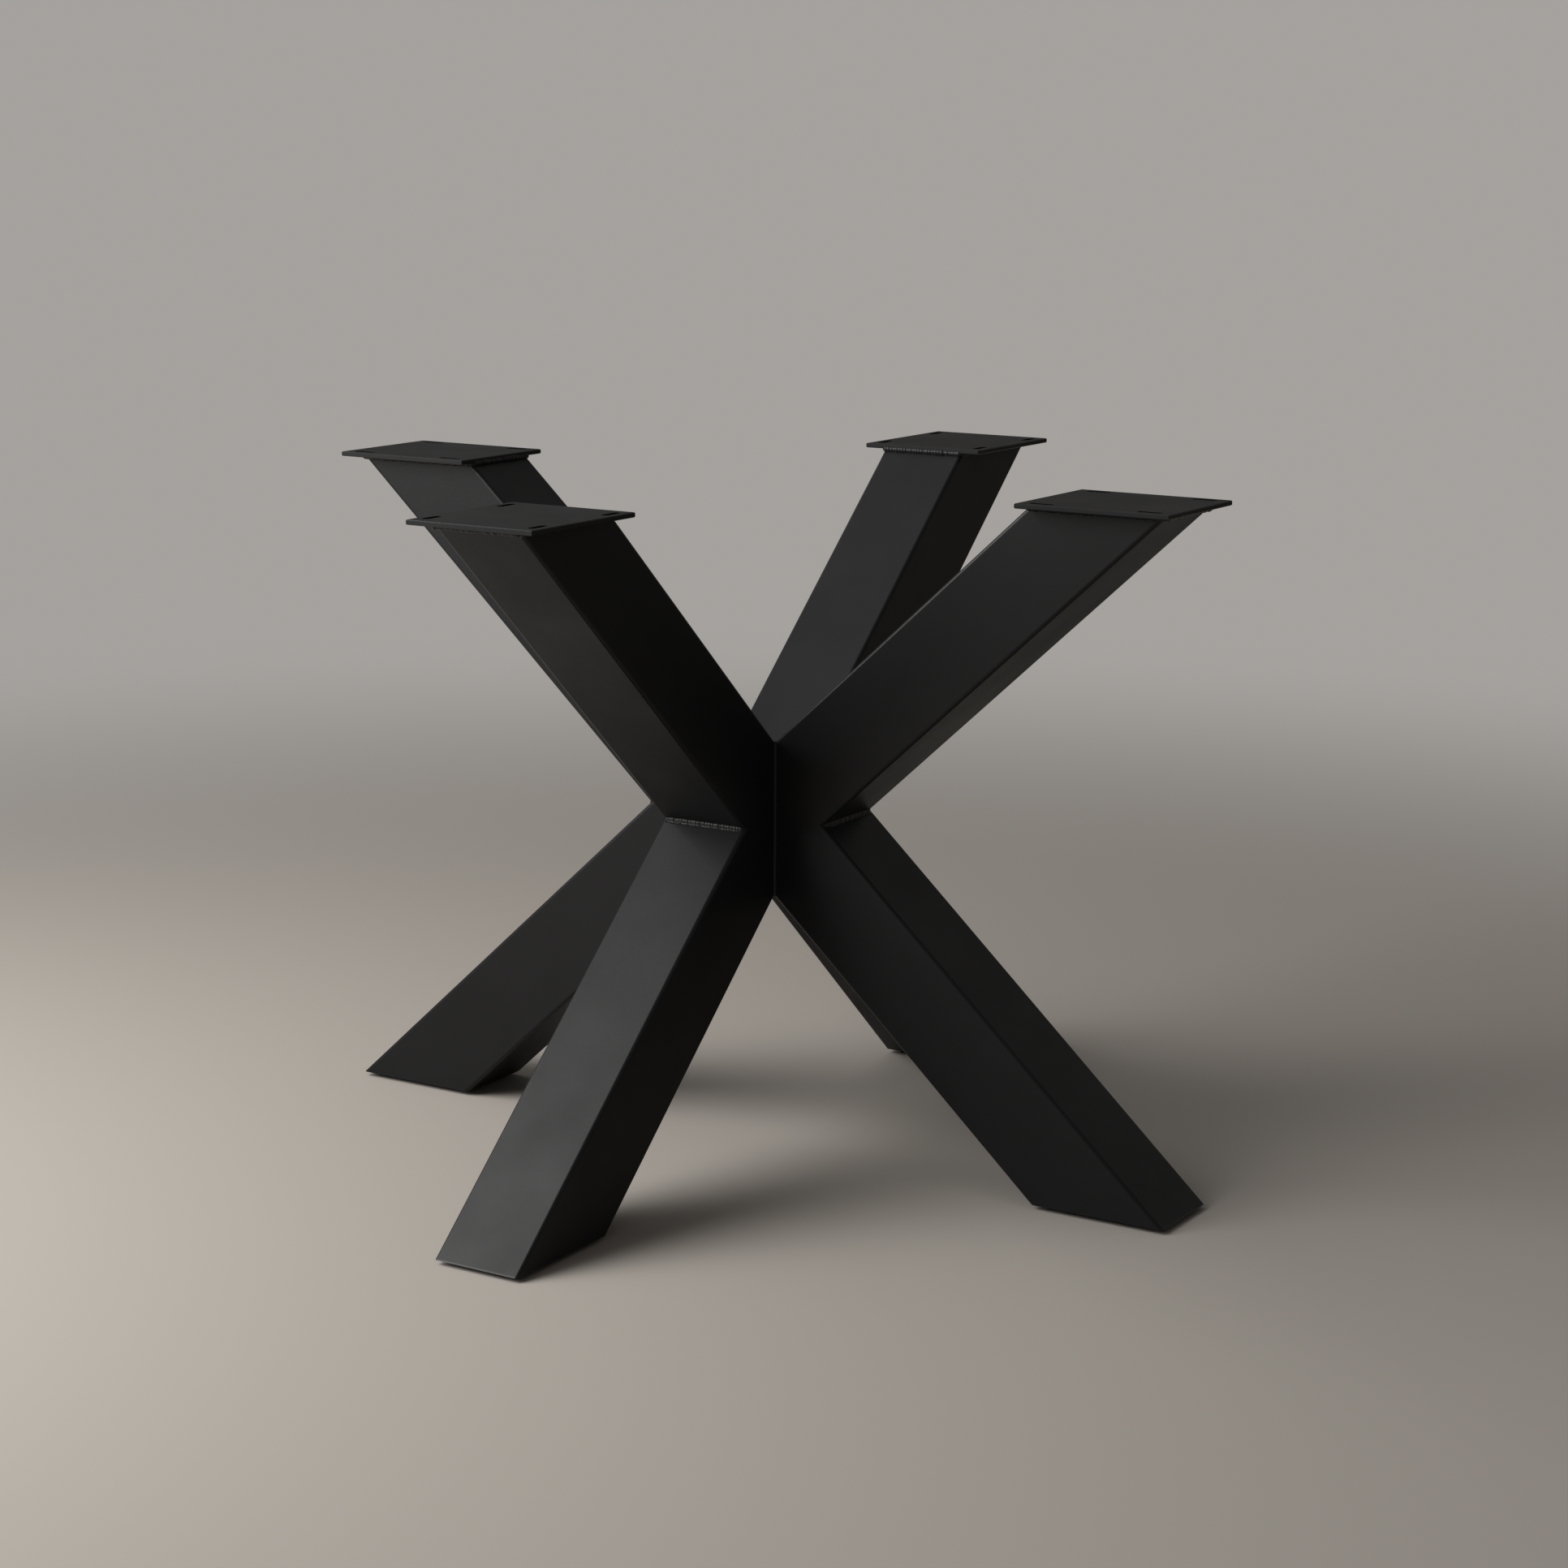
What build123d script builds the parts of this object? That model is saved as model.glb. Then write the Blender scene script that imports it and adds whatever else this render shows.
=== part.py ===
from build123d import *
from math import cos, radians, sin, sqrt, tan
import os

# Spider table base, in millimetres. Eight lengths of square tube meet in one knot:
# four rise to slotted plates under the table top, four go down to padded feet.
# Z is up, the origin is on the floor under the knot, and the legs stand on the
# X and Y axes, so the table's corners lie over the axes.

# Overall
height = 720                # floor to the top of the plates
knee_height = 368           # level at which upper and lower legs meet
knee_reach = 107            # centre line of the base to the outer crotch of a leg pair
leg_slope = 42.3            # degrees from level, the same for all eight legs

# Tube stock, cold formed
tube_width = 100
tube_wall = 2
tube_corner = 4

# Top plates
plate_thickness = 5
plate_length = 165          # along the leg's own direction
plate_width = 144
plate_shift = 4             # plate centre beyond the tube's centre, outward
plate_chamfer = 0.8
slot_length = 26            # end to end, along the leg's own direction
slot_width = 8
slot_pitch_along = 116
slot_pitch_across = 122

# Feet
foot_plate_thickness = 4
pad_thickness = 5
pad_inset = 11              # tube's edge to the pad's edge
pad_corner = 6

# Weld beads
knee_bead_radius = 3.4      # each round its joint line, where the metal leaves room
seam_bead_radius = 2.8
bead_end = 1.5              # bead's end to the tube's side
plate_weld_leg = 3.5
plate_weld_root = 0.2       # the fillet's last edge, where it runs out

# Worked out from the sizes above
slope = radians(leg_slope)
bore_width = tube_width - 2 * tube_wall
bore_corner = tube_corner - tube_wall
cut_length = tube_width / sin(slope)            # a level cut through the tube
tube_top = height - plate_thickness
stock_reach = knee_reach - cut_length / 2       # tube's centre line, at the knee's level
top_reach = stock_reach + (tube_top - knee_height) / tan(slope)
foot_reach = stock_reach + (knee_height - pad_thickness) / tan(slope)
stock_length = height / sin(slope)

os.makedirs("parts", exist_ok=True)
sides = {"right": 0, "back": 90, "left": 180, "front": 270}
ends = {"upper": 1, "lower": -1}


def outward(angle, reach=1.0, level=0.0):
    """A point at a reach from the centre line, in the direction of a leg."""
    return Vector(reach * cos(radians(angle)), reach * sin(radians(angle)), level)


def level_plane(angle, reach, level):
    """A level plane whose X runs outward along a leg."""
    return Plane(origin=outward(angle, reach, level), x_dir=outward(angle), z_dir=(0, 0, 1))


def stock_plane(angle, rise):
    """The plane square to a tube, where its centre line crosses the knee's level."""
    along = outward(angle, cos(slope), rise * sin(slope))
    origin = outward(angle, stock_reach, knee_height)
    return Plane(origin=origin, x_dir=outward(angle + 90), z_dir=along)


# Legs. Each is stock tube sawn three times at the knot: level, where it meets the
# leg above or below it, and upright on both sides, where it meets its neighbours.
# The far end is sawn level for the plate or the foot.
outer_form = {}
for end, rise in ends.items():
    for side, angle in sides.items():
        far_level = tube_top if end == "upper" else pad_thickness
        with BuildPart() as leg:
            with BuildSketch(stock_plane(angle, rise)):
                RectangleRounded(tube_width, tube_width, tube_corner)
            extrude(amount=stock_length, both=True)
            split(bisect_by=Plane((0, 0, knee_height), z_dir=(0, 0, rise)))
            split(bisect_by=Plane((0, 0, far_level), z_dir=(0, 0, -rise)))
            split(bisect_by=Plane((0, 0, 0), z_dir=outward(angle + 45)))
            split(bisect_by=Plane((0, 0, 0), z_dir=outward(angle - 45)))
            outer_form[end, side] = leg.part
            with BuildSketch(stock_plane(angle, rise)):
                RectangleRounded(bore_width, bore_width, bore_corner)
            extrude(amount=stock_length, both=True, mode=Mode.SUBTRACT)
        leg.part.label = f"{end}_leg_{side}"
        export_step(leg.part, f"parts/{leg.part.label}.step")

# Top plates. Flat bar with square-sawn ends, its outline broken by a small chamfer.
# The four slots lie in the margins beside the tube, lengthwise, so that a wooden
# top can shrink and swell under its screws.
for side, angle in sides.items():
    with BuildPart() as top_plate:
        with BuildSketch(level_plane(angle, top_reach + plate_shift, tube_top)):
            Rectangle(plate_length, plate_width)
            with GridLocations(slot_pitch_along, slot_pitch_across, 2, 2):
                SlotOverall(slot_length, slot_width, mode=Mode.SUBTRACT)
        extrude(amount=plate_thickness)
        flats = top_plate.faces().filter_by(Axis.Z)
        outline = [edge for flat in flats for edge in flat.outer_wire().edges()]
        chamfer(outline, plate_chamfer)
    top_plate.part.label = f"top_plate_{side}"
    export_step(top_plate.part, f"parts/{top_plate.part.label}.step")

# Foot plates. Each fills the bore of a lower leg, level with its sawn end, so its
# ends slope with the tube's walls.
for side, angle in sides.items():
    with BuildPart() as foot_plate:
        with BuildSketch(stock_plane(angle, -1)):
            RectangleRounded(bore_width, bore_width, bore_corner)
        extrude(amount=stock_length)
        split(bisect_by=Plane((0, 0, pad_thickness), z_dir=(0, 0, 1)))
        split(bisect_by=Plane((0, 0, pad_thickness + foot_plate_thickness), z_dir=(0, 0, -1)))
    foot_plate.part.label = f"foot_plate_{side}"
    export_step(foot_plate.part, f"parts/{foot_plate.part.label}.step")

# Foot pads, stuck to the foot plates and set in from the tube's edge.
for side, angle in sides.items():
    with BuildPart() as foot_pad:
        with BuildSketch(level_plane(angle, foot_reach, 0)):
            RectangleRounded(cut_length - 2 * pad_inset, tube_width - 2 * pad_inset, pad_corner)
        extrude(amount=pad_thickness)
    foot_pad.part.label = f"foot_pad_{side}"
    export_step(foot_pad.part, f"parts/{foot_pad.part.label}.step")

# Knee welds: a round bead laid level in the outer crotch of each pair of legs,
# short of the tube's side faces.
for side, angle in sides.items():
    crotch = outward(angle, knee_reach, knee_height)
    with BuildPart() as knee_weld:
        with BuildSketch(Plane(origin=crotch, z_dir=outward(angle + 90))):
            Circle(knee_bead_radius)
        extrude(amount=tube_width / 2 - bead_end, both=True)
        for end in ends:
            add(outer_form[end, side], mode=Mode.SUBTRACT)
    knee_weld.part.label = f"knee_weld_{side}"
    export_step(knee_weld.part, f"parts/{knee_weld.part.label}.step")

# Seam welds, one for each pair of neighbouring sides. The bead starts at the centre
# of the base, runs out along the valley between two upper legs, turns over their
# rounded corners, comes down the corner between the side faces, and goes back to
# the centre under the lower legs. It stays in its own quarter of the base.
half_width = tube_width / 2
flat_end = half_width - tube_corner
round_middle = flat_end + tube_corner / sqrt(2)
seam_profile = [
    (-seam_bead_radius, half_width),    # just past the centre, so that the beads meet there
    (flat_end, half_width),
    (round_middle, round_middle),
    (half_width, flat_end),
]
seam_route = []
for across, square in seam_profile:
    seam_rise = (across - stock_reach) * tan(slope) + square / cos(slope)
    seam_route.append((across * sqrt(2), seam_rise))

for (side, angle), next_side in zip(sides.items(), ["back", "left", "front", "right"]):
    knee_centre = (0, 0, knee_height)
    with BuildPart() as seam_weld:
        with BuildLine(Plane(knee_centre, outward(angle + 45), outward(angle - 45))) as seam:
            Polyline(*seam_route, *[(x, -rise) for x, rise in reversed(seam_route)])
        with BuildSketch(Plane(origin=seam.line @ 0, z_dir=seam.line % 0)):
            Circle(seam_bead_radius)
        sweep(transition=Transition.RIGHT)
        for end in ends:
            add(outer_form[end, side], mode=Mode.SUBTRACT)
            add(outer_form[end, next_side], mode=Mode.SUBTRACT)
        split(bisect_by=Plane((0, 0, 0), z_dir=outward(angle)))
        split(bisect_by=Plane((0, 0, 0), z_dir=outward(angle + 90)))
    seam_weld.part.label = f"seam_weld_{side}_{next_side}"
    export_step(seam_weld.part, f"parts/{seam_weld.part.label}.step")

# Plate welds: a fillet all round the tube under its plate. The tube leans, so the
# fillet's lower edge sits further in than its upper edge.
for side, angle in sides.items():
    leg_size = plate_weld_leg
    lower_reach = top_reach - leg_size / tan(slope)
    with BuildPart() as plate_weld:
        with BuildSketch(level_plane(angle, top_reach, tube_top)):
            RectangleRounded(cut_length + 2 * leg_size, tube_width + 2 * leg_size, tube_corner)
        with BuildSketch(level_plane(angle, lower_reach, tube_top - leg_size)):
            RectangleRounded(cut_length + plate_weld_root, tube_width + plate_weld_root, tube_corner)
        loft(ruled=True)
        add(outer_form["upper", side], mode=Mode.SUBTRACT)
    plate_weld.part.label = f"plate_weld_{side}"
    export_step(plate_weld.part, f"parts/{plate_weld.part.label}.step")
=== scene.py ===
from math import atan, cos, pi, radians, sin, sqrt, tan
from random import Random

import bpy
from mathutils import Euler, Matrix, Vector


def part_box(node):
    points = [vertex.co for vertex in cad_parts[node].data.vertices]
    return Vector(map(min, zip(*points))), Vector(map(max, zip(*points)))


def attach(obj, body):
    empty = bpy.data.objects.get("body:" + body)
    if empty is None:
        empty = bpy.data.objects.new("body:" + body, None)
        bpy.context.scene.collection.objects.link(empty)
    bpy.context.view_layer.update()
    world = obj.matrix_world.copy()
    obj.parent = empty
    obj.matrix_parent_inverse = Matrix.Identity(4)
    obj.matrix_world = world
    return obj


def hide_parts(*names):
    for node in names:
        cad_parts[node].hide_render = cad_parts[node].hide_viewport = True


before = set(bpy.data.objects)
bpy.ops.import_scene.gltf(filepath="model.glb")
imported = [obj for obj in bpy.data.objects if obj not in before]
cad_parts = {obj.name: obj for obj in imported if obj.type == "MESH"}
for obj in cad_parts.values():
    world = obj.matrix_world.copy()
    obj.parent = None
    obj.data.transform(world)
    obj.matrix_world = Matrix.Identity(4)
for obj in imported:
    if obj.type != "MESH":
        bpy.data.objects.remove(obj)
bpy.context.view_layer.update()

# Legs. Eight lengths of cold-formed square steel tube, sawn level and to a mitre at
# the knot and welded there. The joints on their flat sides are ground flush, and
# the whole base is sprayed with matt black powder and baked.
sides = {"right": 0.0, "back": pi / 2, "left": pi, "front": -pi / 2}
next_side = {"right": "back", "back": "left", "left": "front", "front": "right"}
coat_black = (0.0082, 0.0084, 0.0092, 1.0)
coat_roughness = 0.46
coat_specular = 0.2
coat_grain = 1900.0         # grains of baked powder to the metre
grain_depth = 0.00003
grain_span = (0.3, 0.7)     # the part of the noise that the grain takes
grain_swing = (-0.04, 0.04)     # how the grain changes the roughness
coat_peel = 240.0           # swells of the coat's orange peel to the metre
peel_depth = 0.00006
coat_mottle = 11.0          # patches of thinner and thicker coat to the metre
mottle_span = (0.35, 0.65)
patch_tones = (0.86, 1.16)      # thin patches are darker, thick ones lighter
patch_swing = (0.03, -0.03)     # and thin ones rougher
corner_span = (0.05, 0.35)      # how far a face is turned, from flat to on a rounded corner
slant_span = (0.05, 0.25)       # how far off 45 degrees a face lies, from on a broken edge to off it
# Painted highlight: the coat's colour is made lighter on rounded corners and on broken and sawn edges;
# only their smoother finish comes from the thin coat.
corner_highlight_tone = 0.1           # how much lighter the coat is on a rounded corner
edge_highlight_tone = 0.8             # and on a broken or sawn edge
thin_shine = 0.24           # how much smoother it is on both
# The line along the sawn ends is smoother, and painted lighter as a highlight.
sawn_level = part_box("foot_pad_right")[1][2]     # the lower legs' sawn ends lie on the pads
sawn_line = 0.0015          # height of the line where the coat is thin


def new_shader_group(name, inputs, outputs):
    """A shader node group with float or colour sockets, and its two end nodes."""
    group = bpy.data.node_groups.new(name, "ShaderNodeTree")
    for in_out, sockets in (("INPUT", inputs), ("OUTPUT", outputs)):
        for socket, (kind, value) in sockets.items():
            made = group.interface.new_socket(socket, in_out=in_out, socket_type="NodeSocket" + kind)
            if value is not None:
                made.default_value = value
    start = group.nodes.new("NodeGroupInput")
    end = group.nodes.new("NodeGroupOutput")
    return group, start, end


def place_in(tree):
    """A point's place on the object, in metres."""
    return tree.nodes.new("ShaderNodeTexCoord").outputs["Object"]


def facing_in(tree):
    """The way that the surface faces there."""
    return tree.nodes.new("ShaderNodeNewGeometry").outputs["Normal"]


def axes_in(tree, vector):
    """The X, Y and Z of a vector."""
    node = tree.nodes.new("ShaderNodeSeparateXYZ")
    tree.links.new(vector, node.inputs[0])
    return node.outputs


def noise_in(tree, coordinates, scale, detail=2.0):
    """A noise texture on object coordinates, its scale to the metre."""
    noise = tree.nodes.new("ShaderNodeTexNoise")
    noise.inputs["Scale"].default_value = scale
    noise.inputs["Detail"].default_value = detail
    tree.links.new(coordinates, noise.inputs["Vector"])
    return noise.outputs["Fac"]


def feed(tree, node, items):
    """Numbers or sockets for a node's inputs, in their order."""
    for place, item in enumerate(items):
        if isinstance(item, (int, float)):
            node.inputs[place].default_value = item
        elif item is not None:
            tree.links.new(item, node.inputs[place])


def value_in(tree, operation, first, second=None, third=None):
    """A maths node on sockets or numbers."""
    node = tree.nodes.new("ShaderNodeMath")
    node.operation = operation
    feed(tree, node, (first, second, third))
    return node.outputs[0]


def spread_in(tree, value, span, results):
    """A value's course over a span, spread over a range of results."""
    node = tree.nodes.new("ShaderNodeMapRange")
    feed(tree, node, (value, *span, *results))
    return node.outputs[0]


# The coat's own effect: fine grain on soft orange peel, in patches that are a
# little lighter and smoother where the powder built up. It draws thin and shines
# over rounded corners, broken edges and sawn edges, and a painted highlight lightens them.
powder, powder_in, powder_out = new_shader_group(
    "baked powder",
    {
        "Colour": ("Color", coat_black),
        "Roughness": ("Float", coat_roughness),
        "Grain depth": ("Float", grain_depth),
        "Peel depth": ("Float", peel_depth),
        "Round corners": ("Float", 1.0),
        "Broken edges": ("Float", 0.0),
        "Sawn edge": ("Float", 0.0),
    },
    {"Colour": ("Color", None), "Roughness": ("Float", None), "Normal": ("Vector", None)},
)
powder_place = place_in(powder)
grain = noise_in(powder, powder_place, coat_grain)
peel = noise_in(powder, powder_place, coat_peel, detail=1.0)
mottle = noise_in(powder, powder_place, coat_mottle, detail=4.0)
patches = spread_in(powder, mottle, mottle_span, (0.0, 1.0))

powder_facing = axes_in(powder, facing_in(powder))
lean_x, lean_y, lean_z = [value_in(powder, "ABSOLUTE", powder_facing[axis]) for axis in "XYZ"]
turned = value_in(powder, "MINIMUM", lean_x, lean_y)
round_corner = spread_in(powder, turned, corner_span, (0.0, 1.0))
slant = value_in(powder, "ABSOLUTE", value_in(powder, "SUBTRACT", lean_z, cos(pi / 4)))
broken_edge = spread_in(powder, slant, slant_span, (1.0, 0.0))
on_corner = value_in(powder, "MULTIPLY", round_corner, powder_in.outputs["Round corners"])
on_broken = value_in(powder, "MULTIPLY", broken_edge, powder_in.outputs["Broken edges"])
on_edge = value_in(powder, "ADD", on_broken, powder_in.outputs["Sawn edge"])
thin_coat = value_in(powder, "ADD", on_corner, on_edge)

patch_tone = spread_in(powder, patches, (0.0, 1.0), patch_tones)
# Painted highlight: corners and edges are made lighter than the flat faces.
tone_with_corner_highlight = value_in(powder, "MULTIPLY_ADD", on_corner, corner_highlight_tone, patch_tone)
tone_with_painted_highlight = value_in(powder, "MULTIPLY_ADD", on_edge, edge_highlight_tone, tone_with_corner_highlight)
tint = powder.nodes.new("ShaderNodeHueSaturation")
powder.links.new(powder_in.outputs["Colour"], tint.inputs["Color"])
powder.links.new(tone_with_painted_highlight, tint.inputs["Value"])
powder.links.new(tint.outputs["Color"], powder_out.inputs["Colour"])

patch_rough = spread_in(powder, patches, (0.0, 1.0), patch_swing)
grain_rough = spread_in(powder, grain, grain_span, grain_swing)
uneven_rough = value_in(powder, "ADD", patch_rough, grain_rough)
flat_rough = value_in(powder, "ADD", powder_in.outputs["Roughness"], uneven_rough)
rough = value_in(powder, "MULTIPLY_ADD", thin_coat, -thin_shine, flat_rough)
powder.links.new(rough, powder_out.inputs["Roughness"])

grain_height = value_in(powder, "MULTIPLY", grain, powder_in.outputs["Grain depth"])
height = value_in(powder, "MULTIPLY_ADD", peel, powder_in.outputs["Peel depth"], grain_height)
bump = powder.nodes.new("ShaderNodeBump")
bump.inputs["Distance"].default_value = 1.0
powder.links.new(height, bump.inputs["Height"])
powder.links.new(bump.outputs["Normal"], powder_out.inputs["Normal"])


def powder_coat(name, colour=coat_black, roughness=coat_roughness, corners=1.0, edges=0.0):
    """Matt black powder coat with its own values."""
    material = bpy.data.materials.new(name)
    material.use_nodes = True
    tree = material.node_tree
    coat = tree.nodes.new("ShaderNodeGroup")
    coat.node_tree = powder
    coat.inputs["Colour"].default_value = colour
    coat.inputs["Roughness"].default_value = roughness
    coat.inputs["Round corners"].default_value = corners
    coat.inputs["Broken edges"].default_value = edges
    shader = tree.nodes["Principled BSDF"]
    shader.inputs["Specular IOR Level"].default_value = coat_specular
    tree.links.new(coat.outputs["Colour"], shader.inputs["Base Color"])
    tree.links.new(coat.outputs["Roughness"], shader.inputs["Roughness"])
    tree.links.new(coat.outputs["Normal"], shader.inputs["Normal"])
    return material


def finish_node(node, material):
    """A CAD node takes a finish in place of its plain one."""
    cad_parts[node].data.materials.clear()
    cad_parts[node].data.materials.append(material)


tube_coat = powder_coat("powder coat on tube")
tube_tree = tube_coat.node_tree
tube_level = axes_in(tube_tree, place_in(tube_tree))["Z"]
sawn_edge = spread_in(tube_tree, tube_level, (sawn_level, sawn_level + sawn_line), (1.0, 0.0))
tube_tree.links.new(sawn_edge, tube_tree.nodes["Group"].inputs["Sawn edge"])
for side in sides:
    finish_node(f"upper_leg_{side}", tube_coat)
    finish_node(f"lower_leg_{side}", tube_coat)

# Top plates. Flat bar, 5 mm, with four laser-cut slots each and a broken edge,
# welded level on the upper legs and coated with them. The slots' walls are
# painted near black as shade, and made dull.
plate_low, plate_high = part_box("top_plate_right")
plate_reach = (plate_low[0] + plate_high[0]) / 2    # the base's centre line to a plate's centre
plate_length = plate_high[0] - plate_low[0]
plate_width = plate_high[1] - plate_low[1]
outline_margin = 0.002      # the plate's own edges lie within this of its outline
wall_lean = 0.3             # an upright wall's normal rises less than this
slot_painted_shade = (0.0022, 0.0021, 0.0020, 1.0)
plate_coat = powder_coat("powder coat on plate", roughness=0.56, corners=0.0, edges=1.0)
plate_tree = plate_coat.node_tree
plate_place = axes_in(plate_tree, place_in(plate_tree))
off_x, off_y = [value_in(plate_tree, "ABSOLUTE", plate_place[axis]) for axis in "XY"]
outward_place = value_in(plate_tree, "MAXIMUM", off_x, off_y)
sideways_place = value_in(plate_tree, "MINIMUM", off_x, off_y)
off_middle = value_in(plate_tree, "ABSOLUTE", value_in(plate_tree, "SUBTRACT", outward_place, plate_reach))
off_ends = value_in(plate_tree, "LESS_THAN", off_middle, plate_length / 2 - outline_margin)
off_sides = value_in(plate_tree, "LESS_THAN", sideways_place, plate_width / 2 - outline_margin)
wall_rise = value_in(plate_tree, "ABSOLUTE", axes_in(plate_tree, facing_in(plate_tree))["Z"])
upright = value_in(plate_tree, "LESS_THAN", wall_rise, wall_lean)
in_slot = value_in(plate_tree, "MULTIPLY", value_in(plate_tree, "MULTIPLY", off_ends, off_sides), upright)
plate_group = plate_tree.nodes["Group"]
plate_shader = plate_tree.nodes["Principled BSDF"]
# Painted shade: the slot walls take a near-black colour in place of the coat's.
slot_shade_mix = plate_tree.nodes.new("ShaderNodeMix")
slot_shade_mix.data_type = "RGBA"
plate_tree.links.new(in_slot, slot_shade_mix.inputs["Factor"])
plate_tree.links.new(plate_group.outputs["Colour"], slot_shade_mix.inputs[6])
slot_shade_mix.inputs[7].default_value = slot_painted_shade
plate_tree.links.new(slot_shade_mix.outputs[2], plate_shader.inputs["Base Color"])
slot_rough = value_in(plate_tree, "MAXIMUM", in_slot, plate_group.outputs["Roughness"])
plate_tree.links.new(slot_rough, plate_shader.inputs["Roughness"])
for side in sides:
    finish_node(f"top_plate_{side}", plate_coat)

# Foot plates. They close the lower legs' ends, level with the saw cut, and only
# their rim shows round the pads.
for side in sides:
    finish_node(f"foot_plate_{side}", plate_coat)

# Foot pads. Black rubber sheet, cut a little smaller than the tube's end and stuck
# to the foot plate.
pad_black = (0.010, 0.010, 0.010, 1.0)
pad_grains = 900.0          # grains of the rubber to the metre
pad_depth = 0.00008
pad_tones = (0.7, 1.5)
pad_roughness = (0.75, 0.92)
pad_rubber = bpy.data.materials.new("pad rubber")
pad_rubber.use_nodes = True
pad_tree = pad_rubber.node_tree
pad_shader = pad_tree.nodes["Principled BSDF"]
pad_shader.inputs["Specular IOR Level"].default_value = 0.35
pad_grain = noise_in(pad_tree, place_in(pad_tree), pad_grains)
pad_tone = spread_in(pad_tree, pad_grain, grain_span, pad_tones)
pad_tint = pad_tree.nodes.new("ShaderNodeHueSaturation")
pad_tint.inputs["Color"].default_value = pad_black
pad_tree.links.new(pad_tone, pad_tint.inputs["Value"])
pad_tree.links.new(pad_tint.outputs["Color"], pad_shader.inputs["Base Color"])
pad_rough = spread_in(pad_tree, pad_grain, grain_span, pad_roughness)
pad_tree.links.new(pad_rough, pad_shader.inputs["Roughness"])
pad_bump = pad_tree.nodes.new("ShaderNodeBump")
pad_bump.inputs["Distance"].default_value = pad_depth
pad_tree.links.new(pad_grain, pad_bump.inputs["Height"])
pad_tree.links.new(pad_bump.outputs["Normal"], pad_shader.inputs["Normal"])
for side in sides:
    finish_node(f"foot_pad_{side}", pad_rubber)

# Knee welds. One fillet pass in each outer crotch between an upper and a lower leg,
# laid by torch in overlapping ripples, with its toe washed out on the lower leg, and
# coated with the legs.
leg_slope = radians(42.3)
tube_width = 0.100
tube_corner = 0.004
half_tube = tube_width / 2
knee_level = 0.368
knee_reach = 0.107
knee_bead_radius = 0.0039
toe_radius = 0.0011
knee_ripple = 0.0034        # from one ripple to the next
knee_spread = 0.30          # how uneven the ripples are
side_gap = 0.0015           # the bead stops short of the tube's sides
ripple_lean = radians(28.0)
ripple_thickness = 0.95     # half of it, in steps from ripple to ripple
first_ripple = 0.72         # a bead starts and ends small
ripple_growth = 0.14        # and grows by this from ripple to ripple
kept_faces = 0.35           # the share of a bead's faces that it needs
# Painted highlight: the welds' coat is a lighter black than the legs', though it is the same powder.
bead_highlight_tint = (0.0140, 0.0142, 0.0150, 1.0)
weld_coat = powder_coat("powder coat on weld", colour=bead_highlight_tint, roughness=0.33, corners=0.0)


def lay_ripples(disc, route, radius, ripple, spread, draw, tapered):
    """Ripples of one pass along a route of points and outward directions.

    Each is a copy of a disc, leaning back along the pass, a little uneven in size and place.
    """
    stops = []
    for (start, facing), (stop, next_facing) in zip(route, route[1:]):
        along = (Vector(stop) - Vector(start)).normalized()
        steps = max(1, round((Vector(stop) - Vector(start)).length / ripple))
        for count in range(steps):
            share = count / steps
            outward = Vector(facing).lerp(Vector(next_facing), share)
            stops.append((Vector(start).lerp(Vector(stop), share), along, outward))
    stops.append((Vector(stop), along, Vector(next_facing)))
    for count, (point, along, outward) in enumerate(stops):
        across = along.cross(outward).normalized()
        turn = Matrix((across, across.cross(along), along)).transposed()
        turn = turn @ Matrix.Rotation(ripple_lean, 3, "X")
        size = radius * (1.0 + spread * (draw.random() - 0.5))
        if tapered:
            from_end = min(count, len(stops) - 1 - count)
            size *= min(1.0, first_ripple + ripple_growth * from_end)
        shift = along * ripple * spread * (draw.random() - 0.5)
        place = Matrix.LocRotScale(point + shift, turn, (size, size, ripple_thickness * ripple))
        one = disc.copy()
        one.data = disc.data.copy()
        one.data.transform(place)
        bpy.context.scene.collection.objects.link(one)
        one.select_set(True)
        bpy.context.view_layer.objects.active = one


def lay_bead(name, passes, ripple, spread, seed, tapered=True, grain=0.00045):
    """A weld bead of one or more passes, run together into one skin and softened."""
    draw = Random(seed)
    bpy.ops.object.select_all(action="DESELECT")
    bpy.ops.mesh.primitive_uv_sphere_add(segments=14, ring_count=10, radius=1.0)
    disc = bpy.context.object
    disc.select_set(False)
    for route, radius in passes:
        lay_ripples(disc, route, radius, ripple, spread, draw, tapered)
    bpy.data.objects.remove(disc)
    bpy.ops.object.join()
    bead = bpy.context.object
    bead.name = name
    skin = bead.modifiers.new("skin", "REMESH")
    skin.mode = "VOXEL"
    skin.voxel_size = grain
    soften = bead.modifiers.new("soften", "SMOOTH")
    soften.factor = 0.5
    soften.iterations = 2
    thin = bead.modifiers.new("thin", "DECIMATE")
    thin.ratio = kept_faces
    for step in ("skin", "soften", "thin"):
        bpy.ops.object.modifier_apply(modifier=step)
    bpy.ops.object.shade_smooth()
    bead.data.materials.clear()
    bead.data.materials.append(weld_coat)
    return bead


def turned_copy(piece, name, angle):
    """A copy of a piece with its own mesh, turned about the base's centre line."""
    copy = piece.copy()
    copy.data = piece.data.copy()
    copy.name = name
    copy.data.transform(Matrix.Rotation(angle, 4, "Z"))
    bpy.context.scene.collection.objects.link(copy)
    return copy


def join_to_base(piece, node):
    """A weld rides on the base and stands for the plain bead."""
    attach(piece, "root")
    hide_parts(node)


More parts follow.
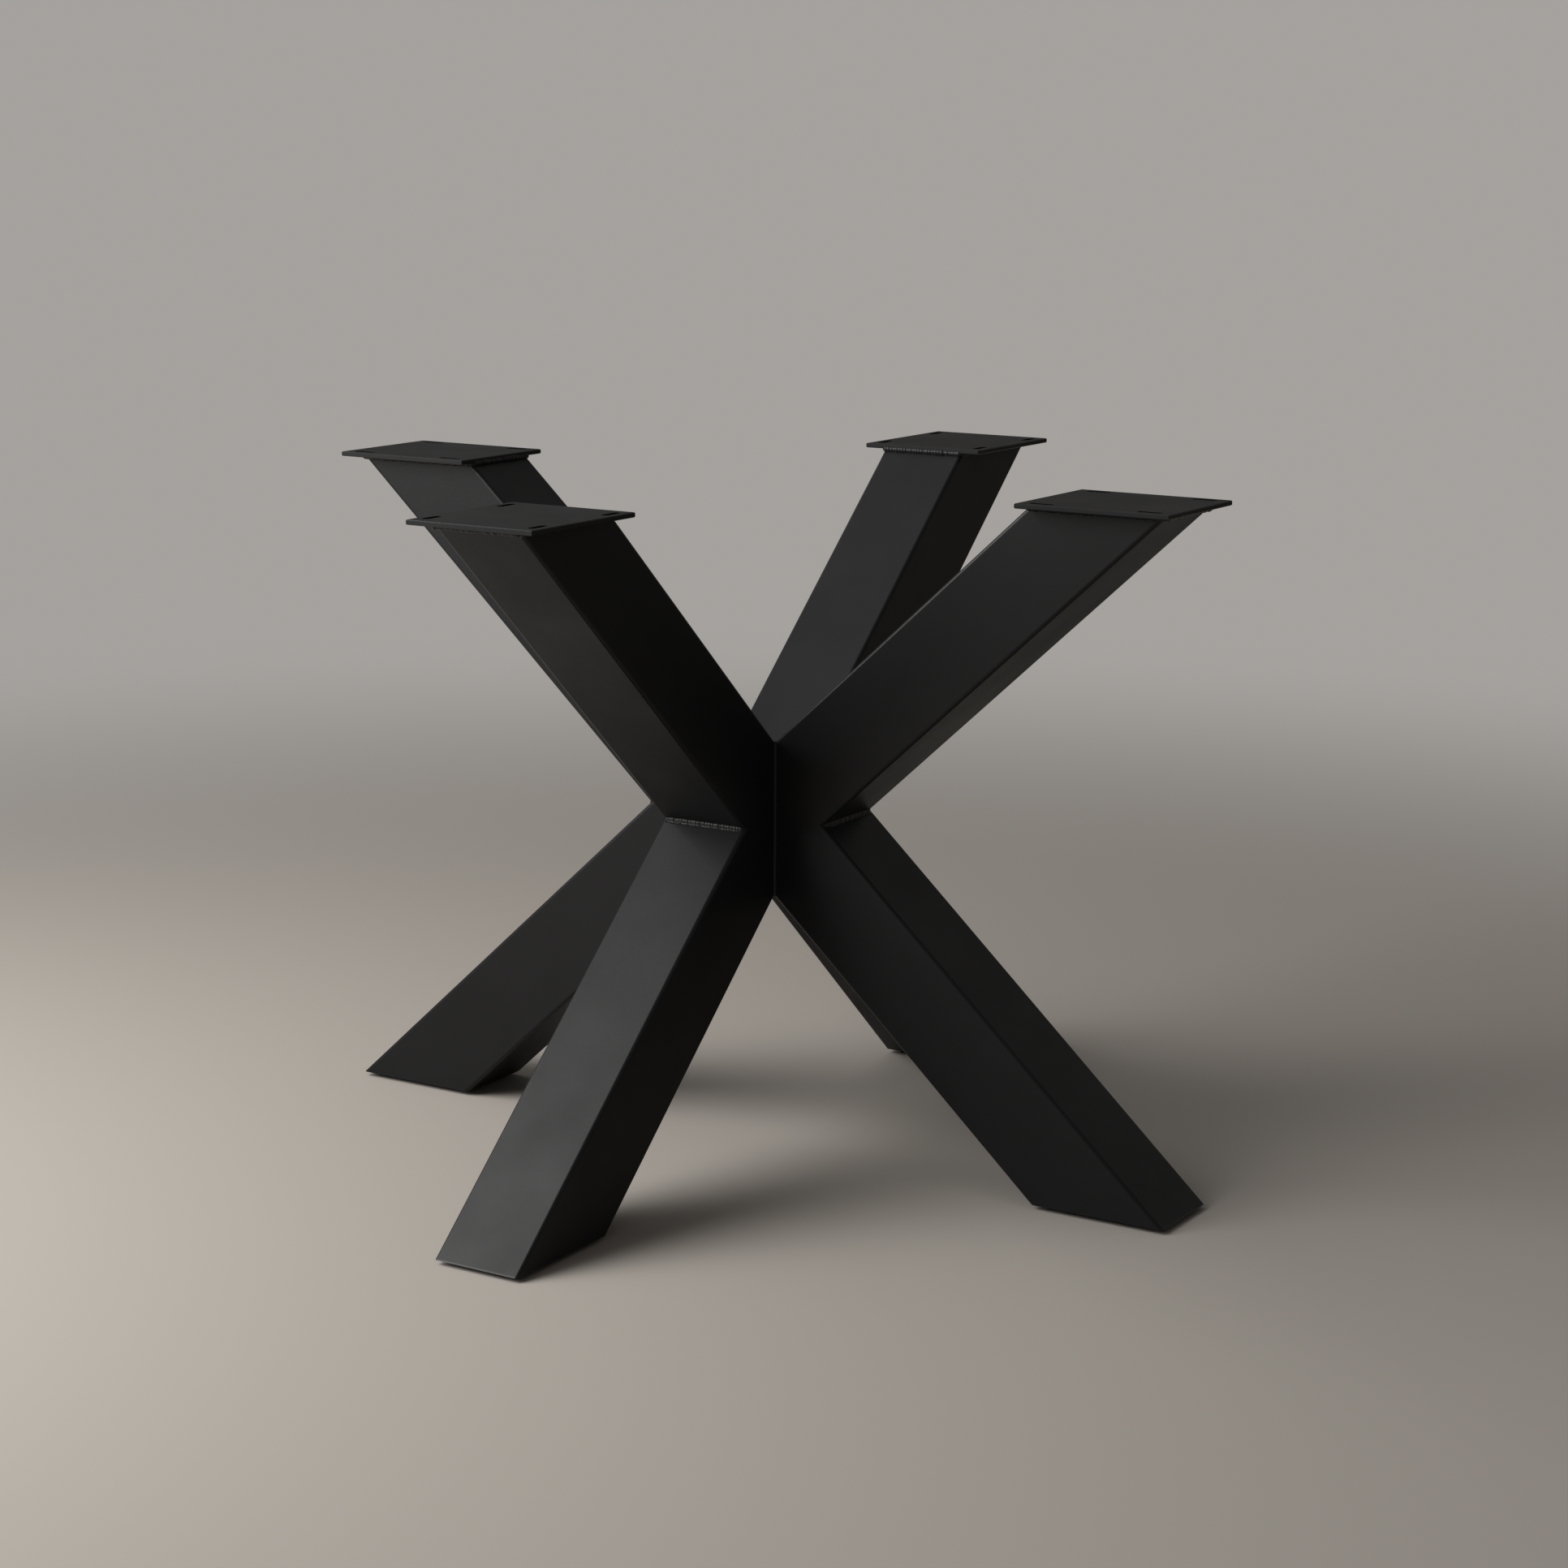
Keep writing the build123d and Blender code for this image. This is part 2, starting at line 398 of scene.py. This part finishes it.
half_bead = half_tube - side_gap - knee_bead_radius
toe_out = knee_bead_radius * cos(leg_slope)
toe_down = knee_bead_radius * sin(leg_slope)
for count, (side, angle) in enumerate(sides.items()):
    turn = Matrix.Rotation(angle, 4, "Z")
    outward = turn @ Vector((1.0, 0.0, 0.0))
    knee_route, toe_route = [], []
    for across in (-half_bead, half_bead):
        knee_route.append((turn @ Vector((knee_reach, across, knee_level)), outward))
        toe = turn @ Vector((knee_reach + toe_out, across, knee_level - toe_down))
        toe_route.append((toe, outward))
    passes = [(knee_route, knee_bead_radius), (toe_route, toe_radius)]
    knee_bead = lay_bead(f"knee_bead_{side}", passes, knee_ripple, knee_spread, seed=count)
    join_to_base(knee_bead, f"knee_weld_{side}")

# Seam welds. One bead closes the joint between each two neighbours: along the valley
# on top, over the tubes' rounded corners, down the upright corner and back below.
seam_bead_radius = 0.0027
seam_ripple = 0.0025
seam_spread = 0.12
stock_reach = knee_reach - tube_width / sin(leg_slope) / 2      # a tube's centre line, at the knee
flat_end = half_tube - tube_corner
round_middle = flat_end + tube_corner / sqrt(2)
valley_slope = atan(tan(leg_slope) / sqrt(2))
valley_facing = (-sin(valley_slope), 0.0, cos(valley_slope))
ridge_facing = (cos(pi / 4), 0.0, sin(pi / 4))
seam_above = [
    (0.0, half_tube, valley_facing),
    (flat_end, half_tube, valley_facing),
    (round_middle, round_middle, ridge_facing),
    (half_tube, flat_end, (1.0, 0.0, 0.0)),
]
seam_route = []
for across, square, facing in seam_above:
    rise = (across - stock_reach) * tan(leg_slope) + square / cos(leg_slope)
    seam_route.append(((across * sqrt(2), 0.0, rise), facing))
seam_route += [((x, y, -z), (fx, fy, -fz)) for (x, y, z), (fx, fy, fz) in reversed(seam_route)]
seam_route = [((x, y, z + knee_level), facing) for (x, y, z), facing in seam_route]
seam_bead = lay_bead("seam_bead", [(seam_route, seam_bead_radius)], seam_ripple, seam_spread, seed=11)
for side, angle in sides.items():
    turned_bead = turned_copy(seam_bead, f"seam_bead_{side}_{next_side[side]}", angle + pi / 4)
    join_to_base(turned_bead, f"seam_weld_{side}_{next_side[side]}")
bpy.data.objects.remove(seam_bead)

# Plate welds. A fillet all round each tube, between its sawn end and the underside
# of the plate. It stands off a little in the narrow gap on the inner side.
fillet_radius = 0.0040
fillet_ripple = 0.0036
fillet_spread = 0.30
fillet_level = plate_low[2] - 0.0004
inner_gap = 0.0016
corner_cut = 0.003          # the bead cuts each corner by this
half_length = tube_width / sin(leg_slope) / 2
inner_end = -half_length - inner_gap
top_reach = stock_reach + (plate_low[2] - knee_level) / tan(leg_slope)
plate_corners = [
    (half_length - corner_cut, -half_tube, (0.0, -0.7, -0.7)),
    (half_length, corner_cut - half_tube, (0.7, 0.0, -0.7)),
    (half_length, half_tube - corner_cut, (0.7, 0.0, -0.7)),
    (half_length - corner_cut, half_tube, (0.0, 0.7, -0.7)),
    (corner_cut - half_length, half_tube, (0.0, 0.7, -0.7)),
    (inner_end, half_tube - corner_cut, (-0.7, 0.0, -0.7)),
    (inner_end, corner_cut - half_tube, (-0.7, 0.0, -0.7)),
    (corner_cut - half_length, -half_tube, (0.0, -0.7, -0.7)),
    (half_length - corner_cut, -half_tube, (0.0, -0.7, -0.7)),
]
plate_route = [
    ((top_reach + along, across, fillet_level), facing) for along, across, facing in plate_corners
]
plate_passes = [(plate_route, fillet_radius)]
plate_bead = lay_bead(
    "plate_bead", plate_passes, fillet_ripple, fillet_spread, seed=23, tapered=False, grain=0.0005
)
for side, angle in sides.items():
    join_to_base(turned_copy(plate_bead, f"plate_bead_{side}", angle), f"plate_weld_{side}")
bpy.data.objects.remove(plate_bead)

# Studio: a plain pale floor that runs out into a backdrop of its own tone, a soft
# lamp in front on the left, and soft daylight from the left and above.
floor_size = 60.0
floor_colour = (0.42, 0.39, 0.355, 1.0)
backdrop_colour = (1.0, 0.955, 0.91, 1.0)
backdrop_seen = 0.38        # its strength to the camera
backdrop_gloss = 0.20       # its strength in reflections
backdrop_light = 0.13       # its strength as a light
near_floor = 0.8            # the floor's own tone as far as this from the centre
far_floor = 3.6             # the backdrop's tone from here on
window_place = (-1.4, -1.5, 1.5)
window_aim = (0.0, -0.1, 0.3)
daylight_place = (-2.4, -1.05, 2.7)
daylight_aim = (0.0, 0.0, 0.0)

bpy.ops.object.select_all(action="DESELECT")
bpy.ops.mesh.primitive_plane_add(size=floor_size, location=(0, 0, 0))
floor = bpy.context.object
floor.name = "studio_floor"
floor_paint = bpy.data.materials.new("studio floor")
floor_paint.use_nodes = True
floor_tree = floor_paint.node_tree
floor_shader = floor_tree.nodes["Principled BSDF"]
floor_shader.inputs["Base Color"].default_value = floor_colour
floor_shader.inputs["Roughness"].default_value = 0.8
floor_shader.inputs["Specular IOR Level"].default_value = 0.2
distance = floor_tree.nodes.new("ShaderNodeVectorMath")
distance.operation = "LENGTH"
floor_tree.links.new(place_in(floor_tree), distance.inputs[0])
run_out = floor_tree.nodes.new("ShaderNodeMapRange")
run_out.interpolation_type = "SMOOTHERSTEP"
run_out.inputs["From Min"].default_value = near_floor
run_out.inputs["From Max"].default_value = far_floor
floor_tree.links.new(distance.outputs["Value"], run_out.inputs["Value"])
floor_rays = floor_tree.nodes.new("ShaderNodeLightPath")
seen_share = value_in(floor_tree, "MULTIPLY", run_out.outputs[0], floor_rays.outputs["Is Camera Ray"])
glow = floor_tree.nodes.new("ShaderNodeEmission")
glow.inputs["Color"].default_value = backdrop_colour
glow.inputs["Strength"].default_value = backdrop_seen
run_in = floor_tree.nodes.new("ShaderNodeMixShader")
floor_tree.links.new(seen_share, run_in.inputs[0])
floor_tree.links.new(floor_shader.outputs[0], run_in.inputs[1])
floor_tree.links.new(glow.outputs[0], run_in.inputs[2])
underside = floor_tree.nodes.new("ShaderNodeNewGeometry").outputs["Backfacing"]
clear = floor_tree.nodes.new("ShaderNodeBsdfTransparent")
open_below = floor_tree.nodes.new("ShaderNodeMixShader")
floor_tree.links.new(underside, open_below.inputs[0])
floor_tree.links.new(run_in.outputs[0], open_below.inputs[1])
floor_tree.links.new(clear.outputs[0], open_below.inputs[2])
floor_out = floor_tree.nodes["Material Output"]
floor_tree.links.new(open_below.outputs[0], floor_out.inputs["Surface"])
floor.data.materials.append(floor_paint)


def add_lamp(name, lamp, position, target):
    """A lamp that stands at one point and faces another."""
    lamp_object = bpy.data.objects.new(name, lamp)
    lamp_object.location = position
    aim = Vector(target) - Vector(position)
    lamp_object.rotation_euler = aim.to_track_quat("-Z", "Y").to_euler()
    bpy.context.scene.collection.objects.link(lamp_object)


window = bpy.data.lights.new("window", "AREA")
window.size = 1.8
window.energy = 68.0
window.color = (1.0, 0.985, 0.96)
add_lamp("window", window, window_place, window_aim)
daylight = bpy.data.lights.new("daylight", "SUN")
daylight.energy = 0.68
daylight.angle = radians(75)
add_lamp("daylight", daylight, daylight_place, daylight_aim)

world = bpy.data.worlds.new("studio")
bpy.context.scene.world = world
world.use_nodes = True
world_tree = world.node_tree
backdrop = world_tree.nodes["Background"]
rays = world_tree.nodes.new("ShaderNodeLightPath")
more_gloss = backdrop_gloss - backdrop_light
more_seen = backdrop_seen - backdrop_light
in_gloss = value_in(world_tree, "MULTIPLY_ADD", rays.outputs["Is Glossy Ray"], more_gloss, backdrop_light)
strength = value_in(world_tree, "MULTIPLY_ADD", rays.outputs["Is Camera Ray"], more_seen, in_gloss)
world_tree.links.new(strength, backdrop.inputs["Strength"])
backdrop.inputs["Color"].default_value = backdrop_colour

# Camera, at the photograph's place: a long lens from the front right, a little
# above the plates.
camera_position = (1.8488, -2.9145, 1.1088)
camera_turn = radians(31.97)        # anticlockwise from looking along +Y
camera_dip = radians(11.74)
camera_roll = radians(0.30)
camera_lens = 76.41                 # mm, on a 36 mm square frame
camera_data = bpy.data.cameras.new("camera")
camera_data.sensor_width = 36.0
camera_data.lens = camera_lens
camera = bpy.data.objects.new("camera", camera_data)
look = Euler((pi / 2 - camera_dip, 0.0, camera_turn)).to_matrix()
camera.rotation_euler = (look @ Matrix.Rotation(camera_roll, 3, "Z")).to_euler()
camera.location = camera_position
bpy.context.scene.collection.objects.link(camera)
bpy.context.scene.camera = camera
bpy.context.scene.view_settings.view_transform = "Standard"
